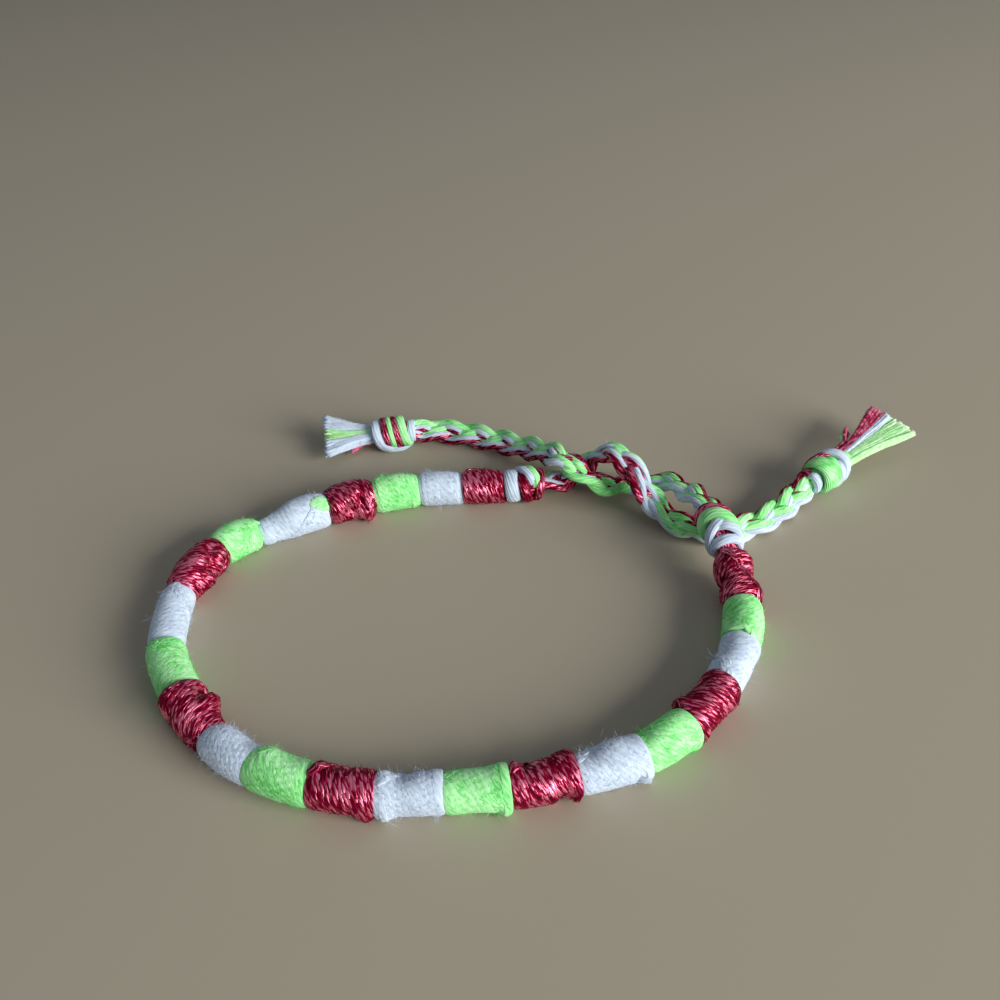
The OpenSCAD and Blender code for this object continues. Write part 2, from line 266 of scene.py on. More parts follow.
def ring_piece(name, bundles, materials, node=None):
    """Builds one object from bundles, a list of (rings, uv, material number, share of the piece). Rings are
    count x rings x points, or rings x points for a single one. Millimetres become metres, and what would
    go below the table is flattened on it."""
    verts, loops, totals, uvs, places, slots = [], [], [], [], [], []
    start = 0
    for rings, uv, which, share in bundles:
        if rings.ndim == 3:
            rings, uv = rings[None], uv[None]
        count, n, m = rings.shape[:3]
        corners, sides, uv_ring, uv_round = grid_faces(n, m)
        share = np.broadcast_to(np.reshape(share, (-1, 1)), (n, m + 1))[uv_ring, uv_round]
        verts.append(rings.reshape(-1, 3))
        loops.append((corners + (start + np.arange(count) * n * m)[:, None]).ravel())
        totals.append(np.tile(sides, count))
        uvs.append(uv[:, uv_ring, uv_round].reshape(-1, 2))
        places.append(np.tile(np.stack([share, 0 * share], -1), (count, 1)))
        slots.append(np.full(len(sides) * count, which))
        start += count * n * m
    verts = np.concatenate(verts) * MM
    verts[:, 2] = np.maximum(verts[:, 2], 0.0)
    loops, totals = np.concatenate(loops).astype(np.int32), np.concatenate(totals).astype(np.int32)
    mesh = bpy.data.meshes.new(name)
    mesh.vertices.add(len(verts))
    mesh.vertices.foreach_set("co", verts.astype(np.float32).ravel())
    mesh.loops.add(len(loops))
    mesh.loops.foreach_set("vertex_index", loops)
    mesh.polygons.add(len(totals))
    mesh.polygons.foreach_set("loop_start", np.concatenate([[0], np.cumsum(totals)[:-1]]).astype(np.int32))
    mesh.polygons.foreach_set("loop_total", totals)
    mesh.polygons.foreach_set("material_index", np.concatenate(slots).astype(np.int32))
    mesh.polygons.foreach_set("use_smooth", np.ones(len(totals), bool))
    for layer, values in (("Thread", uvs), ("Place", places)):
        values = np.concatenate(values).astype(np.float32).ravel()
        mesh.uv_layers.new(name=layer).data.foreach_set("uv", values)
    mesh.update(calc_edges=True)
    mesh.validate()
    for material in materials:
        mesh.materials.append(material)
    piece = bpy.data.objects.new(name, mesh)
    scene.collection.objects.link(piece)
    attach(piece, "root")
    if node:
        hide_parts(node)
    return piece


def triangles(piece):
    """Number of triangles the piece's mesh becomes."""
    totals = np.empty(len(piece.data.polygons), np.int32)
    piece.data.polygons.foreach_get("loop_total", totals)
    return int((totals - 2).sum())


# %% [markdown]
# The thread's finish is worked out by shader nodes. Three helpers keep that short: one makes a
# node, one a step of arithmetic and one a noise.

# %% Node helpers
def add_node(tree, kind, **settings):
    """A new shader node of the given kind in the tree, with its settings."""
    node = tree.nodes.new("ShaderNode" + kind)
    for name, value in settings.items():
        setattr(node, name, value)
    return node


def math_node(tree, operation, *values):
    """The result of a Math node whose inputs are the given sockets or numbers."""
    node = add_node(tree, "Math", operation=operation)
    for socket, value in zip(node.inputs, values):
        if hasattr(value, "links"):
            tree.links.new(value, socket)
        else:
            socket.default_value = value
    return node.outputs[0]


def noise_node(tree, x, y, detail):
    """Noise over the two given coordinates, with features about one unit wide."""
    place = add_node(tree, "CombineXYZ")
    tree.links.new(x, place.inputs["X"])
    tree.links.new(y, place.inputs["Y"])
    noise = add_node(tree, "TexNoise")
    noise.inputs["Scale"].default_value = 1.0
    noise.inputs["Detail"].default_value = detail
    tree.links.new(place.outputs[0], noise.inputs["Vector"])
    return noise.outputs["Fac"]


# %% [markdown]
# Thread has its own fine build: each strand is two plies twisted together, and each ply is a tuft
# of fibres. That is far too fine to model, so a node group reads the thread's UV map and gives a
# height and a few masks, and each colour of floss uses it with its own values.

# %% The strand group
# Cloudy tones per metre, and the shares of the way between which an end is painted paler
CLOUD_SCALE, END_RANGE = 420.0, (0.93, 0.99)


def strand_group():
    """Shader group: a strand's own height is the upper half of a circle across it, its plies are the sine
    of (length / ply length + slant * place across the strand), and fibres are noise drawn out along the
    thread. Groove is 1 between strands and plies. Patch is a slow noise along each strand, with its contrast
    set by Patchiness, plus a noise over the whole piece, with features of about 2 mm, times Cloudiness. End
    goes from 0 to 1 while the UV map Place goes through END_RANGE."""
    group = bpy.data.node_groups.new("Strand detail", "ShaderNodeTree")
    face = group.interface
    for name, value in (("Ply length", 0.9), ("Slant", 1.0), ("Fibre density", 5.0), ("Ply depth", 0.6),
                        ("Patchiness", 1.0), ("Cloudiness", 0.0)):
        face.new_socket(name, in_out="INPUT", socket_type="NodeSocketFloat").default_value = value
    for name in ("Height", "Groove", "Fibre", "Patch", "End"):
        face.new_socket(name, in_out="OUTPUT", socket_type="NodeSocketFloat")
    links = group.links
    given, result = group.nodes.new("NodeGroupInput"), group.nodes.new("NodeGroupOutput")

    def calc(operation, *values):
        """One step of arithmetic in this group."""
        return math_node(group, operation, *values)

    split = add_node(group, "SeparateXYZ")
    links.new(add_node(group, "UVMap", uv_map="Thread").outputs["UV"], split.inputs[0])
    along, over = split.outputs["X"], split.outputs["Y"]
    strand, place = calc("FLOOR", over), calc("FRACT", over)
    random = add_node(group, "TexWhiteNoise", noise_dimensions="1D")
    links.new(strand, random.inputs["W"])
    waver = noise_node(group, calc("MULTIPLY", along, 0.5), calc("MULTIPLY", over, 0.7), 1.0)
    plied = calc("DIVIDE", along, given.outputs["Ply length"])
    plied = calc("ADD", plied, calc("MULTIPLY", place, given.outputs["Slant"]))
    shift = calc("ADD", calc("MULTIPLY", random.outputs["Value"], 5.0), calc("MULTIPLY", waver, 1.5))
    ply = calc("ABSOLUTE", calc("SINE", calc("MULTIPLY", calc("ADD", plied, shift), math.pi)))
    ply = calc("POWER", ply, 0.6)
    edge = calc("ABSOLUTE", calc("MULTIPLY_ADD", place, 2.0, -1.0))
    arch = calc("SQRT", calc("MAXIMUM", calc("SUBTRACT", 1.0, calc("MULTIPLY", edge, edge)), 0.0))
    dense = calc("MULTIPLY", over, given.outputs["Fibre density"])
    fibre = noise_node(group, calc("MULTIPLY", along, 1.1), dense, 3.0)
    patch = noise_node(group, calc("MULTIPLY", along, 0.8), calc("MULTIPLY", over, 0.8), 1.0)
    patch = calc("MULTIPLY_ADD", calc("SUBTRACT", patch, 0.5), given.outputs["Patchiness"], 0.5)
    cloud = add_node(group, "TexNoise")
    cloud.inputs["Scale"].default_value = CLOUD_SCALE
    cloud.inputs["Detail"].default_value = 1.0
    links.new(add_node(group, "TexCoord").outputs["Object"], cloud.inputs["Vector"])
    tone = calc("SUBTRACT", cloud.outputs["Fac"], 0.5)
    patch = calc("MULTIPLY_ADD", tone, given.outputs["Cloudiness"], patch)
    fine = calc("ADD", calc("MULTIPLY", ply, given.outputs["Ply depth"]), calc("MULTIPLY", fibre, 0.9))
    height = calc("ADD", calc("MULTIPLY", arch, 0.6), fine)
    groove = calc("SUBTRACT", 1.0, calc("MULTIPLY", calc("POWER", ply, 0.7), calc("POWER", arch, 0.6)))
    axes = add_node(group, "SeparateXYZ")
    links.new(add_node(group, "UVMap", uv_map="Place").outputs["UV"], axes.inputs[0])
    end = add_node(group, "MapRange")
    end.inputs["From Min"].default_value, end.inputs["From Max"].default_value = END_RANGE
    links.new(axes.outputs["X"], end.inputs["Value"])
    for name, socket in (("Height", height), ("Groove", groove), ("Fibre", fibre), ("Patch", patch),
                         ("End", end.outputs["Result"])):
        links.new(socket, result.inputs[name])
    return group


STRAND = strand_group()
print("strand group:", len(STRAND.nodes), "nodes")

# %% [markdown]
# The three colours of floss. The raspberry one is satin: its best fibres mirror the light in their
# own pink, like metal does, over a very dark red. The white and the green are soft and fuzzy:
# rough, with sheen. The very end of a green section and the tips of cut threads are painted paler,
# at a section's end partly a painted highlight on its last turn and partly the pale fuzz and core
# that show there. A colour's four tones go from painted shade in the grooves over the thread and
# its bright fibres to painted glints; in the satin raspberry the glint tone is also the pink that
# its metal mirrors.

# %% Floss materials
# The place of each tone on the ramp, and how much of it shines like metal. The lowest tone is the
# painted shade of the grooves, the highest a painted glint.
RAMP = ((0.42, 0.0), (0.69, 0.2), (0.89, 0.6), (1.0, 1.0))


def floss_material(name, tones, roughness, specular, satin, sheen, bump, ply_length, ply_depth, patchiness,
                   cloudiness, rim=None):
    """Principled shader. The ramp reads patch + fibre - half the groove, which paints shade into the grooves,
    and gives the tones, at the places and with the alphas of RAMP. Its alpha times `satin` is the metallic
    share. The strand group's height times `bump` millimetres is the bump. `rim` is the paler colour painted
    at the very end of a section or cut thread."""
    material = bpy.data.materials.new(name)
    material.use_nodes = True
    tree = material.node_tree
    links = tree.links
    shader = tree.nodes["Principled BSDF"]
    for socket, value in (("Roughness", roughness), ("Specular IOR Level", specular),
                          ("Sheen Weight", sheen), ("Sheen Roughness", 0.5)):
        shader.inputs[socket].default_value = value
    detail = add_node(tree, "Group", node_tree=STRAND)
    for socket, value in (("Ply length", ply_length), ("Ply depth", ply_depth), ("Patchiness", patchiness),
                          ("Cloudiness", cloudiness)):
        detail.inputs[socket].default_value = value
    lit = math_node(tree, "ADD", detail.outputs["Fibre"], detail.outputs["Patch"])
    # Taking off half the groove paints shade between the strands and plies
    lit = math_node(tree, "MULTIPLY_ADD", detail.outputs["Groove"], -0.5, lit)
    ramp = add_node(tree, "ValToRGB")
    stops = ramp.color_ramp.elements
    for place, _ in RAMP[1:3]:
        stops.new(place)
    for stop, (place, shine), tone in zip(stops, RAMP, tones):
        stop.position, stop.color = place, (*tone, shine)
    links.new(lit, ramp.inputs["Fac"])
    colour = ramp.outputs["Color"]
    # The paler end is painted: on a green section partly a painted highlight on its last turn, partly the
    # pale fuzz and core showing there
    if rim:
        # Inputs 6 and 7 and output 2 of a Mix node are its two colours and their mix
        mix = add_node(tree, "Mix", data_type="RGBA")
        links.new(detail.outputs["End"], mix.inputs["Factor"])
        links.new(colour, mix.inputs[6])
        mix.inputs[7].default_value = (*rim, 1)
        colour = mix.outputs[2]
    links.new(colour, shader.inputs["Base Color"])
    if satin:
        links.new(math_node(tree, "MULTIPLY", ramp.outputs["Alpha"], satin), shader.inputs["Metallic"])
    bumped = add_node(tree, "Bump")
    bumped.inputs["Strength"].default_value = 1.0
    bumped.inputs["Distance"].default_value = bump * MM
    links.new(detail.outputs["Height"], bumped.inputs["Height"])
    links.new(bumped.outputs["Normal"], shader.inputs["Normal"])
    return material


# In each row of tones the first is the painted shade of the grooves and the last a painted glint; a rim is
# the paler colour painted at the ends
FLOSS = {
    "raspberry": floss_material(
        "Raspberry floss",
        ((0.055, 0.0002, 0.005), (0.18, 0.0006, 0.019), (0.35, 0.002, 0.038), (1.0, 0.26, 0.40)),
        roughness=0.41, specular=0.06, satin=0.90, sheen=0.0, bump=0.058, ply_length=1.3, ply_depth=0.35,
        patchiness=1.45, cloudiness=0.5),
    "white": floss_material(
        "White floss",
        ((0.50, 0.59, 0.72), (0.56, 0.67, 0.81), (0.61, 0.73, 0.87), (0.67, 0.79, 0.93)),
        roughness=0.75, specular=0.3, satin=0.0, sheen=0.2, bump=0.030, ply_length=1.1, ply_depth=0.3,
        patchiness=1.0, cloudiness=0.6),
    "green": floss_material(
        "Green floss",
        ((0.16, 0.66, 0.16), (0.27, 0.90, 0.27), (0.36, 0.98, 0.35), (0.50, 1.0, 0.48)),
        roughness=0.70, specular=0.2, satin=0.0, sheen=0.1, bump=0.032, ply_length=1.1, ply_depth=0.3,
        patchiness=1.0, cloudiness=1.3, rim=(0.75, 0.80, 0.60)),
    # The loose raspberry is a lighter, pinker copy of the wound one, painted so to make up for the shade it
    # lies in under the tassel's green threads
    "loose raspberry": floss_material(
        "Loose raspberry floss",
        ((0.20, 0.003, 0.02), (0.42, 0.012, 0.06), (0.58, 0.04, 0.12), (0.90, 0.25, 0.38)),
        roughness=0.45, specular=0.3, satin=0.3, sheen=0.0, bump=0.03, ply_length=1.1, ply_depth=0.3,
        patchiness=1.3, cloudiness=0.4, rim=(0.88, 0.42, 0.50)),
    "loose green": floss_material(
        "Loose green floss",
        ((0.32, 0.80, 0.27), (0.40, 0.90, 0.33), (0.50, 0.95, 0.42), (0.60, 0.98, 0.52)),
        roughness=0.75, specular=0.3, satin=0.0, sheen=0.3, bump=0.03, ply_length=1.1, ply_depth=0.3,
        patchiness=1.0, cloudiness=0.6, rim=(0.75, 0.85, 0.60)),
}
print("materials:", ", ".join(m.name for m in FLOSS.values()))

# %% [markdown]
# A section is floss wound tight over a core of threads, so under the floss lies a short bent
# barrel. Its thickness comes from the table, and two small tables more give each barrel its own
# form. PINCH says how far its ends are pulled in, where that isn't PLAIN_PINCH. A row of RELIEF is
# a lobe or a cleft: its middle and reach along the section in shares of its length, its middle
# and reach round the cord in degrees, and its height in millimetres. Both count sections from 0.

# %% The form of a section
LAST = len(SECTIONS) - 1
BAND = np.array([row[1:3] for row in SECTIONS] + [BAND_END])
BAND = np.column_stack([BAND, np.zeros(len(BAND))])
UP = np.array([0.0, 0.0, 1.0])
PLAIN_PINCH = 0.12
PINCH = {1: 0.28, 2: 0.30, 3: 0.40, 4: 0.30, 5: 0.35, 6: 0.45, 7: 0.20, 8: 0.25, 9: 0.45, 21: 0.45}
RELIEF = {
    3: [(0.20, 0.32, 205, 60, 0.8), (0.32, 0.16, 152, 30, -1.1), (0.60, 0.26, 182, 30, -0.8),
        (0.50, 0.34, 128, 44, 0.4), (0.86, 0.18, 150, 44, 0.3)],
    4: [(0.74, 0.30, 90, 210, -0.45), (0.30, 0.30, 20, 70, 0.25), (0.06, 0.12, -10, 50, 0.2)],
    6: [(0.24, 0.20, 150, 34, 0.3), (0.28, 0.20, 118, 26, -0.9), (0.46, 0.24, 158, 28, -1.1),
        (0.66, 0.26, 182, 44, 0.75), (0.58, 0.40, 118, 40, 0.4)],
    9: [(0.14, 0.26, 40, 60, 0.45), (0.27, 0.16, 152, 46, -0.7), (0.42, 0.16, 124, 24, -0.8),
        (0.54, 0.26, 148, 40, 0.8)],
    10: [(0.30, 0.30, 100, 60, 0.2), (0.75, 0.25, 130, 60, -0.2)],
    11: [(0.25, 0.25, 115, 50, 0.25), (0.65, 0.25, 120, 50, -0.15)],
    12: [(0.08, 0.16, 115, 50, 0.25), (0.40, 0.30, 125, 50, -0.15), (0.85, 0.25, -45, 60, 0.4)],
    13: [(0.10, 0.16, 110, 45, 0.15), (0.38, 0.30, 125, 70, -0.45), (0.12, 0.22, -35, 60, 0.35),
         (0.90, 0.25, 120, 60, 0.15)],
    14: [(0.08, 0.25, 125, 60, -0.2), (0.88, 0.30, 125, 60, 0.2), (0.92, 0.14, -35, 45, 0.4),
         (0.50, 0.30, -50, 50, -0.15)],
    15: [(0.08, 0.14, 105, 45, 0.3), (0.28, 0.22, 125, 60, -0.4), (0.85, 0.30, 125, 70, 0.4),
         (0.72, 0.18, -30, 80, -0.5), (0.93, 0.14, -15, 50, 0.45)],
    16: [(0.20, 0.22, 110, 60, -0.25), (0.60, 0.30, 120, 60, 0.25), (0.94, 0.16, -30, 55, 0.6)],
    17: [(0.60, 0.35, 105, 60, 0.2), (0.12, 0.20, 120, 60, -0.2), (0.90, 0.18, -30, 60, 0.25)],
    18: [(0.16, 0.22, 150, 60, 0.5), (0.62, 0.25, 140, 50, -0.3), (0.06, 0.16, -20, 60, 0.3),
         (0.80, 0.25, 0, 60, 0.25)],
    19: [(0.55, 0.35, 150, 60, -0.25), (0.85, 0.25, 20, 60, 0.2)],
    21: [(0.20, 0.20, 10, 60, 0.35), (0.70, 0.20, 60, 90, 0.45), (0.42, 0.14, 180, 70, -0.55)],
}


def section_frame(i, t):
    """Centre, direction along the cord, direction away from the loop's middle, and diameter, at shares t of
    section i. The diameter is the parabola through the three in the table, less the pinch at both ends,
    which comes in over the first and last 0.15. The last section also has a waist and a thin end, and
    climbs as the square of t."""
    _, _, _, first, middle, last, _, _ = SECTIONS[i]
    place, along = spline(BAND, i + t)
    along = unit(along * (1, 1, 0))
    d = first * (1 - t) * (1 - 2 * t) + 4 * middle * t * (1 - t) + last * t * (2 * t - 1)
    place = place + UP * (d / 2 - REST_FLAT)[:, None]
    d = d - PINCH.get(i, PLAIN_PINCH) * (2 - ease(0, 0.15, t) - ease(0, 0.15, 1 - t))
    if i == LAST:
        d = d - 0.5 * hump(0.25, 0.7, t) - 0.9 * ease(0.75, 1.0, t)
        place = place + UP * (BAND_END_LIFT * t ** 2)[:, None]
    out = np.column_stack([along[:, 1], -along[:, 0], 0 * t])
    return place, along, out, d


def relief(i, share, theta):
    """How far the lobes and clefts of section i stand out at each share and angle (radians): each row of
    RELIEF makes a hump along the cord times a hump round it, and the rows add up."""
    total = 0 * share
    for s0, ds, a0, da, height in RELIEF.get(i, []):
        turn = (np.degrees(theta) - a0 + 180) % 360 - 180
        total = total + height * hump(s0 - ds, s0 + ds, share) * hump(-da, da, turn)
    return total


print("the band is", round(float(travelled(BAND)[-1]), 1), "mm long from point to point")

# %% [markdown]
# The winding is a row of half hitches: the floss goes once round the cord, slips under itself,
# and lies along the cord for a moment before the next round. Those short bars climb round the
# cord as a ridge. The whole section is one thread, so it is one bundle carried along one path,
# and the crossing is a lift of the bar and a dip of the round that passes under it. A tube inside
# closes the gaps between the turns.

# %% The path of a section's thread
THREAD_WIDTH, THREAD_HEIGHT, TURN_PITCH = 1.05, 0.40, 0.62
# How much of the thread's height shows as relief where it crosses itself
CREST = {"raspberry": 1.0, "white": 0.65, "green": 0.45}
# Millimetres left free at both ends of a section, how far in pitches the bar overshoots, the
# degrees that the round waits at the bar, and the share of a turn that the bar takes
MARGIN, OVERSHOOT, WAIT, BAR = 0.40, 0.7, 26, 0.13
# How far the bar is lifted and the round under it dips, in crests, and how many millimetres the
# thread's start and end are sunk
BAR_LIFT, ROUND_DIP, START_SUNK, END_SUNK = 0.22, 0.25, 0.4, 0.25
# How much closer the points lie near the bar, and the place in the turn where they are closest
CROWD, CROWD_AT = 0.55, 0.06


def winding(i, per_turn=32):
    """The path of one section's thread, the way its flat side faces, its swelling and its share of the
    section. With w the share of a turn done and G a smooth step over the bar, the place along the cord is
    (1 + q) G - q w pitches, so the bar overshoots by q and the round comes back; the angle grows evenly but
    for the bar, where it waits; and the radius is lifted over the bar and dipped where the round ends under
    it. The points lie closer together near the bar, by a sine. The flat side faces square to the surface:
    outward less the surface's slope times along. The first and the last turn are sunk and narrower."""
    colour, _, _, _, _, _, ridge, climb = SECTIONS[i]
    rng = np.random.default_rng(100 + i)
    length = np.linalg.norm(BAND[i + 1] - BAND[i])
    turns = round(length / TURN_PITCH)
    x = np.arange(turns * per_turn + 1) / per_turn
    whole, w = np.floor(x), x % 1
    crowd = np.sin(2 * np.pi * (w - CROWD_AT)) + np.sin(2 * np.pi * CROWD_AT)
    w = np.clip(w - CROWD * crowd / (2 * np.pi), 0, 1)
    x = whole + w

    def wobble(scale):
        """A small random value at every whole turn, joined by straight lines."""
        return scale * np.interp(x, np.arange(turns + 2), rng.normal(size=turns + 2))

    def surface(q):
        """The section's radius q millimetres along it, at each point's own angle."""
        return section_frame(i, q / length)[3] / 2 + relief(i, q / length, theta)

    step = ease(0.0, BAR, w)
    end = turns - 0.4
    pitches = np.clip(whole - 1 + (1 + OVERSHOOT) * step - OVERSHOOT * w, -0.9, end)
    s = MARGIN + (length - 2 * MARGIN) * pitches / end
    s = np.clip(s + wobble(0.07), -0.25, length - MARGIN + 0.05)
    centre, along, out, d = section_frame(i, s / length)
    theta = np.radians(ridge + climb * x / turns + 360 * x - WAIT * (step - w))
    crest = THREAD_HEIGHT * CREST[colour]
    lift = crest * (BAR_LIFT * hump(0, 0.15, w) - ROUND_DIP * hump(0.90, 1.0, w))
    lift = lift - START_SUNK * (1 - ease(0, 0.06, x)) - END_SUNK * ease(turns - 0.1, turns, x)
    r = d / 2 - THREAD_HEIGHT / 2 + lift + wobble(0.06 * crest) + relief(i, s / length, theta)
    radial = np.cos(theta)[:, None] * out + np.sin(theta)[:, None] * UP
    slope = np.clip((surface(s + 0.1) - surface(s - 0.1)) / 0.2, -0.8, 0.8)
    square = unit(radial - slope[:, None] * along)
    swell = wobble(0.06) - 0.15 * hump(-0.03, 0.18, w)
    swell = swell - 0.25 * ease(turns - 1.4, turns - 0.9, x) - 0.1 * (1 - ease(0.6, 1.1, x))
    return centre + r[:, None] * radial, square, swell, s / length


def core(i, rings=14, sides=40, deeper=0.21):
    """The wound threads under the outer ones, only there to close the gaps between turns: a tube `deeper`
    millimetres under the section's surface, with its ends rounded in by an eighth power."""
    t = np.linspace(0.0, 1.0, rings)
    centre, _, out, d = section_frame(i, t)
    a = np.linspace(0, -2 * np.pi, sides, endpoint=False)
    share, angle = np.meshgrid(t, a, indexing="ij")
    r = ((d / 2 - deeper) * (1 - 0.12 * np.abs(2 * t - 1) ** 8))[:, None] + relief(i, share, angle)
    around = np.cos(a)[None, :, None] * out[:, None] + np.sin(a)[None, :, None] * UP
    v = np.repeat((t * 30)[:, None], sides + 1, axis=1)
    u = np.repeat(np.linspace(0, 13, sides + 1)[None], rings, axis=0)
    return centre[:, None] + r[..., None] * around, np.stack([u, v], -1)


print("thread of", THREAD_WIDTH, "by", THREAD_HEIGHT, "mm, one turn every", TURN_PITCH, "mm")

# %% [markdown]
# Every thread sheds fine hairs, the white and the green more than the shiny raspberry. Each hair
# is a thin three-sided bent tube standing up from the thread, and all hairs of a piece are made
# in one go.

# %% Stray hairs
def hairs(base, outward, rng, longest, which=0, thick=0.04):
    """Bent hairs from the points `base`, as one bundle: each goes out along a random mix of `outward` and a
    sideways direction, and bends off by a second random direction times the square of the share of its
    length. `which` is their material's number, and thick their thickness at the root in mm."""
    n = len(base)
    heading = unit(outward * rng.uniform(0.15, 1.0, (n, 1)) + 0.75 * rng.normal(size=(n, 3)))
    heading += outward * np.maximum(0, 0.1 - (heading * outward).sum(1, keepdims=True))
    bend = 0.5 * rng.normal(size=(n, 3))
    length = longest * rng.uniform(0.25, 1.0, (n, 1, 1)) ** 1.5
    t = np.linspace(0, 1, 4)[None, :, None]
    line = base[:, None] + length * (heading[:, None] * t + bend[:, None] * t ** 2)
    side = unit(np.cross(heading, rng.normal(size=(n, 3))))
    other = np.cross(unit(heading), side)
    a = np.radians((0, 120, 240))[None, None, :, None]
    around = np.cos(a) * side[:, None, None] + np.sin(a) * other[:, None, None]
    rings = line[:, :, None] + thick / 2 * (1 - 0.7 * t[..., None]) * around
    uv = np.zeros((n, 4, 4, 2))
    uv[..., 1] = 0.5
    return rings, uv, which, 0.5


# %% [markdown]
# Now the sections are wound. Each piece holds the thread, the tube inside it and the hairs. The
# white and the green floss are fuller than the raspberry, whose turns stay apart. At the start
# of the fifth section, a white one, a few wisps of the green floss inside it show.

# %% Wind the twenty-two sections
# How many hairs a section of each colour has, and the longest in millimetres
FUZZ = {"raspberry": (140, 0.5), "white": (560, 0.75), "green": (520, 0.6)}
# A strand's outline, and the thread's width over THREAD_WIDTH
BUILD = {"raspberry": ((0.84, 1.0, 1.0), 1.05), "white": ((0.95, 1.0, 1.0), 1.25),
         "green": ((0.95, 1.0, 1.0), 1.25)}
# The section that the wisps are in, and for each wisp the share of the section where it ends, its
# degrees round the cord and its width
WISPS_IN = 4
WISPS = ((0.20, 141, 0.8), (0.25, 129, 0.9), (0.22, 117, 0.8), (0.16, 107, 0.6))
section_pieces = []
for i, row in enumerate(SECTIONS):
    path, square, swell, share = winding(i)
    lobe, wide = BUILD[row[0]]
    rings, uv = floss(path, square, wide * THREAD_WIDTH * (1 + swell), THREAD_HEIGHT, strands=8, twist=0.6,
                      phase=i * 1.3, lobe=lobe, flat=1.55 - 0.75 * wide)
    inner, inner_uv = core(i)
    rng = np.random.default_rng(300 + i)
    number, longest = FUZZ[row[0]]
    pick = rng.integers(20, len(path) - 20, number)
    tufts = hairs(path[pick] + square[pick] * THREAD_HEIGHT * 0.45, square[pick], rng, longest)
    bundles = [(rings, uv, 0, share), (inner, inner_uv, 0, np.linspace(0, 1, len(inner))), tufts]
    own = [FLOSS[row[0]]]
    if i == WISPS_IN:
        for end, turn, width in WISPS:
            t = np.linspace(0.0, end, 12)
            centre, _, out, d = section_frame(i, t)
            a = np.radians(turn - 60 * t)[:, None]
            radial = np.cos(a) * out + np.sin(a) * UP
            wisp = centre + (d / 2 - 9.0 * (t - 0.45 * end) ** 2)[:, None] * radial
            rings, uv = floss(wisp, radial, width, 0.35, strands=6, twist=0.9, phase=turn,
                              lobe=(0.91, 1.0, 1.0), flat=0.9)
            bundles.append((rings, uv, 1, 0.5))
        own.append(FLOSS["green"])
    name = f"section_{i + 1:02d}_{row[0]}"
    section_pieces.append(ring_piece("wound_" + name, bundles, own, name))
print("triangles in the sections:", sum(triangles(p) for p in section_pieces))

# %% [markdown]
# The ties are plaits. Each of the three bundles in a plait holds one floss of each colour, side
# by side and in the same order, so the plait shows green along one rim, white in the middle and
# raspberry along the other. In a plait the outer bundle always crosses over the middle one, from
# either side in turn: a sideways wave, and an up and down wave of half the length.

# %% The braided ties
ALL_FLOSS = [FLOSS[colour] for colour in COLOURS]
# A bundle's swing and rise, the half width of its oval and the height of a floss, in millimetres
SWING, RISE, OVAL, FLOSS_HEIGHT = 0.80, 0.45, 0.56, 0.92
# Each floss of a bundle: its material, its degrees round the oval and its width
IN_BUNDLE = ((0, 210, 1.05), (1, 90, 0.8), (2, 330, 1.1))
PLAIT_STRANDS, PLAIT_HAIRS = 7, 70


def plait(route, lobes, rolls, leans, hand, crown, reach=0.3, per_mm=4):
    """Nine flosses along the route. `lobes` are the millimetres at which a bundle reaches the far rim,
    `rolls` rows of millimetres and degrees of the colours' turn inside their bundle, `leans` the same for
    the plait's tilt towards the viewer, and `hand` mirrors it. With p a third of a turn for every lobe and
    every bundle, a bundle is moved sideways by SWING sin p and up by RISE sin 2p, less near both ends, and
    its flosses stand at a third of a turn from each other round it, on an oval OVAL by `crown` mm."""
    rough, _ = spline(route, np.linspace(0, len(route) - 1, 400))
    count = int(travelled(rough)[-1] * per_mm)
    middle, D = spline(route, np.linspace(-reach, len(route) - 1 + reach, count))
    length = travelled(middle)
    N = unit(UP - (UP * D).sum(1, keepdims=True) * D)
    B = np.cross(D, N) * hand
    lean = np.radians(np.interp(length, *zip(*leans)))[:, None]
    N, B = N * np.cos(lean) - B * np.sin(lean), B * np.cos(lean) + N * np.sin(lean)
    close = 0.55 + 0.45 * ease(0, 2.5, length) * ease(0, 2.5, length[-1] - length)
    lobe = np.interp(length, lobes, np.arange(len(lobes)))
    lobe = np.convolve(np.pad(lobe, 6, mode="reflect", reflect_type="odd"), np.ones(13) / 13, mode="valid")
    roll = np.radians(np.interp(length, *zip(*rolls)))
    rng = np.random.default_rng(count)
    bundles = []
    for which in range(3):
        p = np.pi / 2 + 2 * np.pi * (lobe + which) / 3
        side, rise = SWING * np.sin(p) * close, RISE * np.sin(2 * p) * close
        for colour, angle, width in IN_BUNDLE:
            a = roll + np.radians(angle)
            path = middle + (side + OVAL * np.cos(a))[:, None] * B + (rise + crown * np.sin(a))[:, None] * N
            rings, uv = floss(path, N, width, FLOSS_HEIGHT, PLAIT_STRANDS, twist=0.4, phase=which + colour)
            pick = rng.integers(4, count - 4, PLAIT_HAIRS)
            base = rings[pick, rng.integers(0, 3 * PLAIT_STRANDS, PLAIT_HAIRS)]
            outward = unit(N[pick] + 0.8 * rng.normal(size=(PLAIT_HAIRS, 3)))
            bundles += [(rings, uv, colour, 0.5), hairs(base, outward, rng, 0.6, colour)]
    return bundles


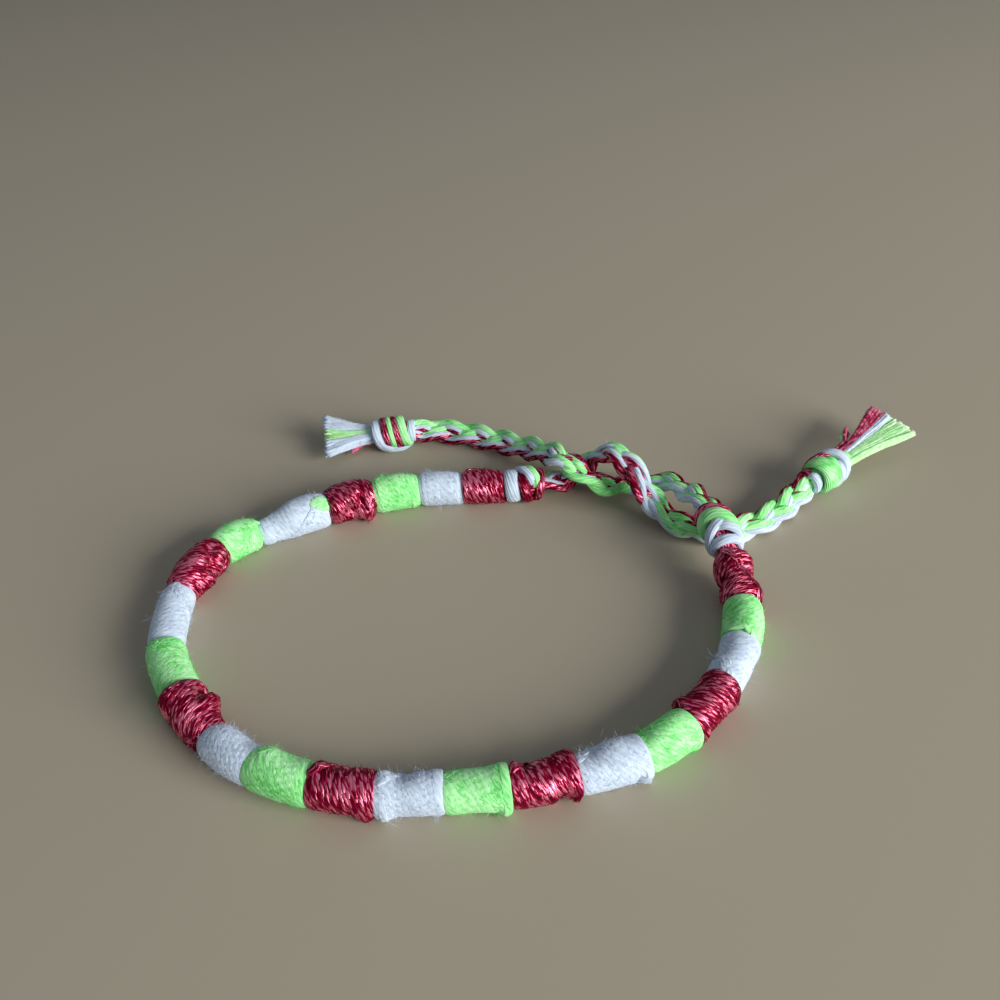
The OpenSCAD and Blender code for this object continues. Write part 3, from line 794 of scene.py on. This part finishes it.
right_braid = ring_piece("right_braid", plait(
    RIGHT_TIE, hand=-1, crown=0.14,
    lobes=(0, 4, 8.3, 12.5, 17.5, 22.5, 26.7, 30.5, 34.4, 38.7, 42.2, 45.6),
    rolls=((0, 0), (6.5, 0), (9.5, 30), (12.5, 25), (17.5, -35), (19, -35), (22.5, 130), (27, 150),
           (32, 118), (37, 96), (41, 98), (45, 122)),
    leans=((0, 0), (28, 0), (32, 30), (45, 30))), ALL_FLOSS, "tie_right")
left_braid = ring_piece("left_braid", plait(
    LEFT_TIE, hand=1, crown=0.06,
    lobes=(-2, 2.5, 7, 12, 16.2, 20.5, 24.8, 29, 34, 38.6, 42.5, 47, 51.5),
    rolls=((0, 120), (15, 120), (18, 195), (23, 195), (28, 25), (50, 22)),
    leans=((0, 0), (24, 0), (30, 30), (50, 30))), ALL_FLOSS, "tie_left")
print("triangles in the ties:", triangles(right_braid) + triangles(left_braid))

# %% [markdown]
# Four lumps are knots of all three colours pulled tight. What shows of such a knot is a few flat
# bands passing round it at a slant. Each band here is floss laid on the lump along a few places,
# given as millimetres from the lump's start, degrees round it and height above it.

# %% Knot helpers
def lump(start, end, thick, ends):
    """Frame of a lump: start, length, axis X, Y = up x X, Z = X x Y, and its radius as a function of the
    place along it, which goes from `ends`/2 at both ends to thick/2 in the middle as a power of a sine."""
    X = unit(end - start)
    Y = unit(np.cross(UP, X))
    length = np.linalg.norm(end - start)

    def radius(x):
        """The lump's radius at x millimetres from its start."""
        bulge = np.maximum(np.sin(np.pi * np.clip(x / length, 0, 1)), 0) ** 0.6
        return ends / 2 + (thick - ends) / 2 * bulge

    return start, length, X, Y, np.cross(X, Y), radius


def laid(shape, colour, width, places, height=0.75, steps=10):
    """A flat band of floss laid on a lump, through places of (mm along, degrees round, mm above the lump).
    It has about one strand for every 0.12 mm of its width, an even number up to 16."""
    start, _, X, Y, Z, radius = shape
    places = np.array(places, float)
    places[:, 1] = np.radians(places[:, 1])
    way, _ = spline(places, np.linspace(0, len(places) - 1, steps * (len(places) - 1) + 1))
    x, angle, above = way.T
    outward = np.cos(angle)[:, None] * Y + np.sin(angle)[:, None] * Z
    path = start + x[:, None] * X + (radius(x) - height / 2 + above)[:, None] * outward
    strands = min(2 * round(width / 0.24), 16)
    rings, uv = floss(path, outward, width, height, strands, twist=0.25, phase=places[0, 0], flat=0.75)
    return rings, uv, COLOURS.index(colour), 0.5


def lump_body(shape, colour, thinner, rings=14, sides=24):
    """The lump's inside: the lump turned round its axis, with its radius `thinner` mm less."""
    start, length, X, Y, Z, radius = shape
    x = np.linspace(0.02, 0.98, rings) * length
    a = np.linspace(0, 2 * np.pi, sides, endpoint=False)
    around = np.cos(a)[None, :, None] * Y + np.sin(a)[None, :, None] * Z
    grid = start + x[:, None, None] * X + (radius(x) - thinner)[:, None, None] * around
    uv = np.stack(np.broadcast_arrays(x[:, None], np.linspace(0, 24, sides + 1)[None]), -1)
    return grid, uv, COLOURS.index(colour), 0.5


def ring(x0, x1, a0, a1, lift=0.0, points=7, ends=-0.6):
    """Places of a band going round from angle a0 to a1 while it moves from x0 to x1, sunk at both ends."""
    t = np.linspace(0, 1, points)
    above = lift + (ends - lift) * (1 - np.sin(np.pi * t) ** 0.25)
    return np.column_stack([x0 + (x1 - x0) * t, a0 + (a1 - a0) * t, above])


def knot(name, node, shape, inside, thinner, bands):
    """A lump's inside and the bands on it, each given as (colour, width, places), as one piece."""
    bundles = [lump_body(shape, inside, thinner)] + [laid(shape, *band) for band in bands]
    return ring_piece(name, bundles, ALL_FLOSS, node)


# %% [markdown]
# Each end knot reaches from the band's end to the start of a tie, and each stopper from the tie's
# end to the neck of its tassel. The bands follow in about the order of their laying, as colour,
# width in millimetres and places. The back of a knot is made in the manner of its front.

# %% Tie the four knots
band_start, _, _, _ = section_frame(0, np.array([0.0]))
band_end, _, _, _ = section_frame(LAST, np.array([1.0]))
knot_a = lump(band_start[0], RIGHT_TIE[0], thick=4.7, ends=3.0)
knot_b = lump(band_end[0], LEFT_TIE[0], thick=4.7, ends=3.0)
stop_left = lump(LEFT_TIE[-1], LEFT_NECK, thick=4.8, ends=2.6)
stop_right = lump(RIGHT_TIE[-1], RIGHT_NECK, thick=4.7, ends=2.6)
print("knot lengths in mm:", [round(float(k[1]), 2) for k in (knot_a, knot_b, stop_left, stop_right)])

knot("end_knot_a", "end_knot_left", knot_a, "raspberry", 0.5, [
    ("white", 1.8, ring(1.0, 1.1, -80, 280)),
    ("raspberry", 1.3, ring(2.4, 3.2, 80, 330, -0.05)),
    ("white", 1.0, [(1.3, -20, -0.6), (1.6, 20, -0.1), (2.3, 65, 0.1), (3.0, 95, 0.15), (3.5, 120, 0.1),
                    (3.8, 145, -0.5)]),
    ("green", 1.0, [(2.2, -20, -0.6), (2.6, 20, 0.0), (3.2, 65, 0.15), (3.8, 95, 0.2), (4.2, 125, 0.1),
                    (4.0, 160, -0.4)]),
    ("raspberry", 1.0, [(3.8, 0, -0.6), (4.2, 40, 0.0), (4.7, 80, 0.2), (4.8, 120, 0.3), (4.6, 165, 0.3),
                        (4.1, 210, 0.1), (3.6, 260, -0.1), (3.4, 310, -0.5)]),
])
knot("end_knot_b", "end_knot_right", knot_b, "raspberry", 0.7, [
    ("white", 1.2, ring(0.7, 0.7, -70, 250)),
    ("white", 1.2, [(1.0, -60, -0.4), (1.1, -20, 0.0), (1.6, 20, 0.1), (2.3, 50, 0.15), (2.9, 80, 0.1),
                    (3.3, 110, -0.4)]),
    ("white", 1.3, [(2.8, 60, -0.4), (2.4, 90, 0.1), (1.9, 120, 0.2), (1.3, 155, 0.1), (1.2, 200, 0.0),
                    (1.3, 260, -0.3)]),
    ("green", 1.7, [(2.9, -30, -0.4), (3.5, 5, 0.0), (4.1, 40, 0.2), (4.1, 75, 0.3), (3.4, 105, 0.3),
                    (2.7, 135, 0.2), (2.4, 175, 0.0), (2.6, 230, -0.3)]),
    ("raspberry", 1.3, [(4.5, -40, -0.4), (5.1, -5, 0.15), (5.5, 35, 0.25), (5.5, 70, 0.15),
                        (5.1, 100, -0.1), (4.6, 125, -0.5)]),
    ("raspberry", 1.0, ring(5.5, 4.3, 60, 300, 0.1)),
    ("green", 1.0, ring(4.9, 5.6, 200, 420, 0.0)),
])
knot("left_stopper", "stopper_knot_left", stop_left, "raspberry", 0.5, [
    ("white", 1.1, ring(0.2, 0.4, -80, 280)),
    ("green", 1.2, ring(0.5, 2.2, -80, 150, 0.15)),
    ("raspberry", 0.9, ring(1.5, 3.1, -80, 150, 0.0)),
    ("green", 0.9, ring(2.4, 3.8, -60, 170, -0.05)),
    ("raspberry", 0.9, ring(3.2, 4.6, -60, 200, 0.0)),
    ("white", 1.3, [(4.9, 230, -0.4), (4.9, 180, 0.0), (5.0, 120, 0.0), (5.0, 70, 0.05), (4.9, 25, 0.15),
                    (4.3, -20, 0.3), (3.1, -42, 0.35), (1.8, -50, 0.3), (0.8, -75, 0.0), (0.4, -110, -0.4)]),
])
knot("right_stopper", "stopper_knot_right", stop_right, "green", 0.6, [
    ("raspberry", 1.2, ring(0.2, 0.5, -40, 90, 0.1)),
    ("white", 1.2, ring(0.5, 0.4, 80, 230, 0.05)),
    ("raspberry", 1.1, [(1.0, -10, -0.4), (1.8, 25, 0.1), (2.7, 48, 0.2), (3.7, 64, 0.15), (4.6, 76, -0.3)]),
    ("green", 2.4, [(2.0, 25, -0.3), (2.0, 60, 0.2), (2.1, 95, 0.35), (2.2, 130, 0.35), (2.0, 165, 0.3),
                    (1.8, 205, 0.1), (1.6, 250, -0.4)]),
    ("green", 1.2, ring(3.7, 2.7, 70, 230, 0.15)),
    ("white", 0.9, ring(4.3, 3.3, 110, 260, 0.1)),
    ("white", 1.2, [(3.0, 0, -0.4), (3.7, 32, 0.05), (4.5, 62, 0.2), (5.1, 92, 0.15), (5.3, 125, 0.1),
                    (5.0, 160, 0.1), (4.4, 200, 0.0), (3.8, 245, -0.4)]),
    ("green", 1.1, ring(3.8, 3.2, 200, 380, 0.0)),
])

# %% [markdown]
# Past the stoppers the threads are simply cut. Each thread end runs from inside the stopper to
# its own place at the brush's blunt tip, a little wavy, in the order of colours seen there. Where
# many threads of a colour lie together, one flat bundle inside them fills the brush.

# %% Tassels
# The bundle's width in millimetres where it leaves the stopper, and the number of threads of one
# colour from which they have a flat bundle inside
NECK_WIDTH, MANY = 2.1, 31


def brush(neck, tips, threads, seed, inside=1.2, thick=0.27, steps=16):
    """Loose threads: each leaves the neck along the tie's direction and ends at a place on the edge between
    the two tips, as a cubic with those two directions, plus two small waves. `threads` rows are colour, how
    many, the part of the edge they cover, height above it and length as a share of the whole. The flat
    bundle inside a row of many threads is as wide as they are, and thinner towards the tip."""
    rng = np.random.default_rng(seed)
    middle, edge = tips.mean(axis=0), tips[1] - tips[0]
    ahead = unit(middle - neck)
    reach = np.linalg.norm(middle - neck)
    across = unit(edge)
    upward = unit(np.cross(ahead, across)) * np.sign(np.cross(ahead, across)[2])
    normals = np.tile(upward, (steps, 1))
    bundles = []
    t = np.linspace(0, 1, steps)[:, None]

    def strand(v, level, above, share, longer=0.0):
        """The path of a thread that is at place v of the edge and at the given level in the bundle."""
        start = neck + across * (v - 0.5) * NECK_WIDTH + upward * (0.4 * above + 0.5 * level)
        tip = tips[0] + edge * v + upward * (above + 0.36 * level) + ahead * longer
        tip = start + (tip - start) * share
        leave, arrive = ahead * reach * 0.9, unit(tip - start) * reach
        return ((2 * t ** 3 - 3 * t ** 2 + 1) * start + (t ** 3 - 2 * t ** 2 + t) * leave
                + (3 * t ** 2 - 2 * t ** 3) * tip + (t ** 3 - t ** 2) * arrive)

    for colour, count, low, high, above, share in threads:
        which = COLOURS.index(colour)
        if count >= MANY:
            path = strand((low + high) / 2, 0.0, above, 0.96 * share)
            spread = ease(0, 1, t[:, 0])
            wide = (high - low) * (NECK_WIDTH + (np.linalg.norm(edge) - NECK_WIDTH) * spread)
            deep = (1.3 - 0.3 * t[:, 0]) * (1 - 0.9 * t[:, 0] ** 12)
            rings, uv = floss(path, normals, wide, deep, 24, twist=0.0, phase=0.0, lobe=(0.96, 1.0))
            bundles.append((rings, uv, which, 0.5))
        for j in range(count):
            v, level = low + (high - low) * (j + rng.uniform()) / count, rng.uniform(-1, 1)
            path = strand(v, level, above, share, rng.normal() * 0.14)
            wave = 0.16 * np.sin(t * rng.uniform(4, 8) + rng.uniform(0, 6)) * t
            path = path + wave * across + 0.7 * wave[::-1] * upward * t
            path -= ahead * inside * (1 - t) ** 6
            path[:, 2] = np.maximum(path[:, 2], thick / 2)
            width = thick * rng.uniform(1.2, 2.2)
            rings, uv = floss(path, normals, width, thick, 3, twist=1.0, phase=rng.uniform(0, 6),
                              lobe=(1.0, 1.0), flat=1.0)
            uv[..., 1] = 0.25 + uv[..., 1] / 6 + j
            pick = rng.integers(4, steps, 3)
            tufts = hairs(rings[pick, 1], rng.normal(size=(3, 3)), rng, 0.6, which)
            bundles += [(rings, uv, which, np.linspace(0.7, 0.96, steps)), tufts]
    return bundles


LOOSE = [FLOSS["loose raspberry"], FLOSS["white"], FLOSS["loose green"]]
left_brush = ring_piece("left_brush", brush(LEFT_NECK, LEFT_TIPS, [
    ("white", 60, 0.0, 0.28, 0.1, 1.0), ("green", 50, 0.32, 0.63, -0.1, 1.0),
    ("white", 64, 0.67, 1.0, 0.1, 1.0), ("raspberry", 14, 0.0, 0.2, -1.2, 0.5)], seed=5),
    LOOSE, "tassel_left")
right_brush = ring_piece("right_brush", brush(RIGHT_NECK, RIGHT_TIPS, [
    ("raspberry", 62, -0.02, 0.32, 0.1, 1.0), ("white", 16, 0.26, 0.43, 0.15, 1.0),
    ("green", 160, 0.34, 1.0, 0.0, 1.0), ("raspberry", 8, -0.35, -0.22, -0.4, 0.42),
    ("green", 8, -0.38, -0.3, -0.6, 0.36)], seed=6, inside=2.4),
    LOOSE, "tassel_right")
print("triangles in the tassels:", triangles(left_brush) + triangles(right_brush))
